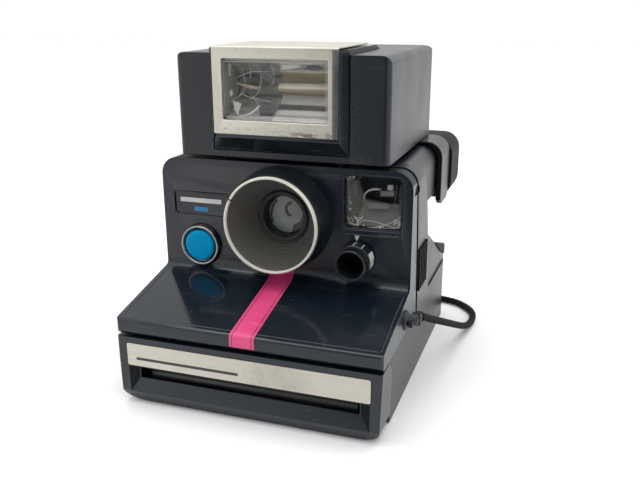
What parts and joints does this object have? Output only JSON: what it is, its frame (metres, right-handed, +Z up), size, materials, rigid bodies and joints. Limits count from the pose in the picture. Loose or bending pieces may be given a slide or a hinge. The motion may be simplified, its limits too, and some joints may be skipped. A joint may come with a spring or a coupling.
{
  "type": "instant camera",
  "caption": "Box-type instant film camera with sloping deck, front film door with rollers, plug-on electronic flash and neck strap.",
  "frame": {"origin": "middle of the footprint of the camera with its flash, on the surface it stands on", "axes": "+X to the right seen from the front, +Y from the front door to the eyecup, +Z up"},
  "size_m": [0.1477, 0.193, 0.1434],
  "materials": {
    "panel_black": "satin moulded black, lightly scratched",
    "body_black": "fine-textured moulded black",
    "inner_black": "matt black",
    "rubber_grey": "matt brownish black",
    "silver_trim": "brushed, worn",
    "chrome": "bright",
    "ivory": "satin",
    "button_blue": "satin",
    "clear": "clear",
    "mirror": "first-surface mirror",
    "steel": "satin",
    "brass": "satin",
    "board": "laminate",
    "white_plastic": "satin",
    "cord_black": "braided",
    "decal": "printed striped film",
    "amber": "translucent",
    "paper": "picture sheets"
  },
  "bodies": {
    "camera_body": {"front_cover": "panel_black", "stripe_decal": "decal", "upper_housing": "body_black", "finder_window": "clear", "finder_mask": "inner_black", "finder_tunnel": "body_black", "eyecup": "rubber_grey", "eyepiece_lens": "clear", "lens_cone": "inner_black", "lens_ring": "ivory", "taking_lens": "clear", "shutter_housing": "inner_black", "button_collar": "chrome", "circuit_board": "board", "light_sensor": "clear", "drive_motor": "steel", "film_pack": "inner_black", "film_sheets": "paper", "pack_battery": "silver_trim", "base_shell": "body_black", "counter_window": "clear", "rear_cover": "body_black", "taking_mirror": "mirror", "strap_lug_right": "inner_black", "strap_end_right": "inner_black", "strap_lug_left": "inner_black", "strap_end_left": "inner_black", "strap_cord_right": "cord_black", "strap_cord_left": "cord_black", "strap_coil": "cord_black", "strap_tie": "rubber_grey", "flash_socket": "inner_black"},
    "shutter_blade_a": {"shutter_blade_a": "steel"},
    "shutter_blade_b": {"shutter_blade_b": "steel"},
    "shutter_button": {"shutter_button": "button_blue", "button_spring": "steel"},
    "exposure_dial": {"exposure_dial": "inner_black"},
    "motor_pinion": {"motor_pinion": "brass"},
    "drive_gear": {"drive_gear": "white_plastic"},
    "pick_arm": {"pick_arm": "steel"},
    "counter_wheel": {"counter_wheel": "white_plastic"},
    "film_door": {"door_shell": "body_black", "door_label": "silver_trim"},
    "roller_lower": {"roller_lower": "steel"},
    "roller_upper": {"roller_upper": "steel"},
    "door_latch": {"door_latch": "body_black"},
    "flash_unit": {"flash_case": "body_black", "flash_head": "body_black", "flash_frame": "silver_trim", "flash_window": "clear", "flash_reflector": "chrome", "flash_tube": "clear", "flash_capacitor": "inner_black", "flash_board": "board", "flash_battery_pack": "steel", "flash_ready_lamp": "amber", "flash_foot": "inner_black", "flash_saddle": "body_black"},
    "flash_battery_door": {"flash_battery_door": "body_black"},
    "flash_switch": {"flash_switch": "inner_black"}
  },
  "joints": [
    {"name": "shutter_button_press", "type": "slide", "parent": "camera_body", "child": "shutter_button", "axis": [0, 1, 0], "range_m": [0, 0.0024], "stiffness_N_per_m": 400, "springref_m": -0.0025, "deforming": ["button_spring"]},
    {"name": "shutter_blade_a_slide", "type": "slide", "parent": "camera_body", "child": "shutter_blade_a", "axis": [1, 0, 0], "range_m": [0, 0.007], "stiffness_N_per_m": 20, "springref_m": -0.002},
    {"name": "shutter_blade_b_slide", "type": "slide", "parent": "camera_body", "child": "shutter_blade_b", "axis": [-1, 0, 0], "range_m": [0, 0.007]},
    {"name": "exposure_dial_turn", "type": "hinge", "parent": "camera_body", "child": "exposure_dial", "pos_m": [0.0336, -0.03496, 0.0589], "axis": [0, -1, 0], "range_deg": [-60, 60]},
    {"name": "motor_pinion_spin", "type": "hinge", "parent": "camera_body", "child": "motor_pinion", "pos_m": [0.048, -0.00696, 0.05], "axis": [1, 0, 0], "continuous": true},
    {"name": "drive_gear_spin", "type": "hinge", "parent": "camera_body", "child": "drive_gear", "pos_m": [0.048, -0.00696, 0.03955], "axis": [1, 0, 0], "continuous": true},
    {"name": "pick_arm_slide", "type": "slide", "parent": "camera_body", "child": "pick_arm", "axis": [0, -1, 0], "range_m": [0, 0.006], "stiffness_N_per_m": 60, "springref_m": -0.003},
    {"name": "counter_wheel_turn", "type": "hinge", "parent": "camera_body", "child": "counter_wheel", "pos_m": [-0.03, 0.05904, 0.016], "axis": [0, 1, 0], "range_deg": [0, 300]},
    {"name": "film_door_hinge", "type": "hinge", "parent": "camera_body", "child": "film_door", "pos_m": [0, -0.06946, 0.0045], "axis": [1, 0, 0], "range_deg": [0, 70]},
    {"name": "roller_lower_spin", "type": "hinge", "parent": "film_door", "child": "roller_lower", "pos_m": [0, -0.06446, 0.0098], "axis": [1, 0, 0], "continuous": true},
    {"name": "roller_upper_spin", "type": "hinge", "parent": "film_door", "child": "roller_upper", "pos_m": [0, -0.06446, 0.0186], "axis": [1, 0, 0], "continuous": true},
    {"name": "door_latch_slide", "type": "slide", "parent": "camera_body", "child": "door_latch", "axis": [0, -1, 0], "range_m": [0, 0.004], "stiffness_N_per_m": 250, "springref_m": -0.002},
    {"name": "flash_lift_off", "type": "slide", "parent": "camera_body", "child": "flash_unit", "axis": [0, 0, 1], "range_m": [0, 0.035]},
    {"name": "flash_battery_door_hinge", "type": "hinge", "parent": "flash_unit", "child": "flash_battery_door", "pos_m": [-0.046, 0.01054, 0.1046], "axis": [0, -1, 0], "range_deg": [0, 95]},
    {"name": "flash_switch_slide", "type": "slide", "parent": "flash_unit", "child": "flash_switch", "axis": [1, 0, 0], "range_m": [0, 0.006]}
  ],
  "couplings": [
    {"joint": "shutter_blade_b_slide", "follows": "shutter_blade_a_slide", "ratio": 1},
    {"joint": "motor_pinion_spin", "follows": "drive_gear_spin", "ratio": -2.4},
    {"joint": "roller_upper_spin", "follows": "roller_lower_spin", "ratio": -1}
  ]
}
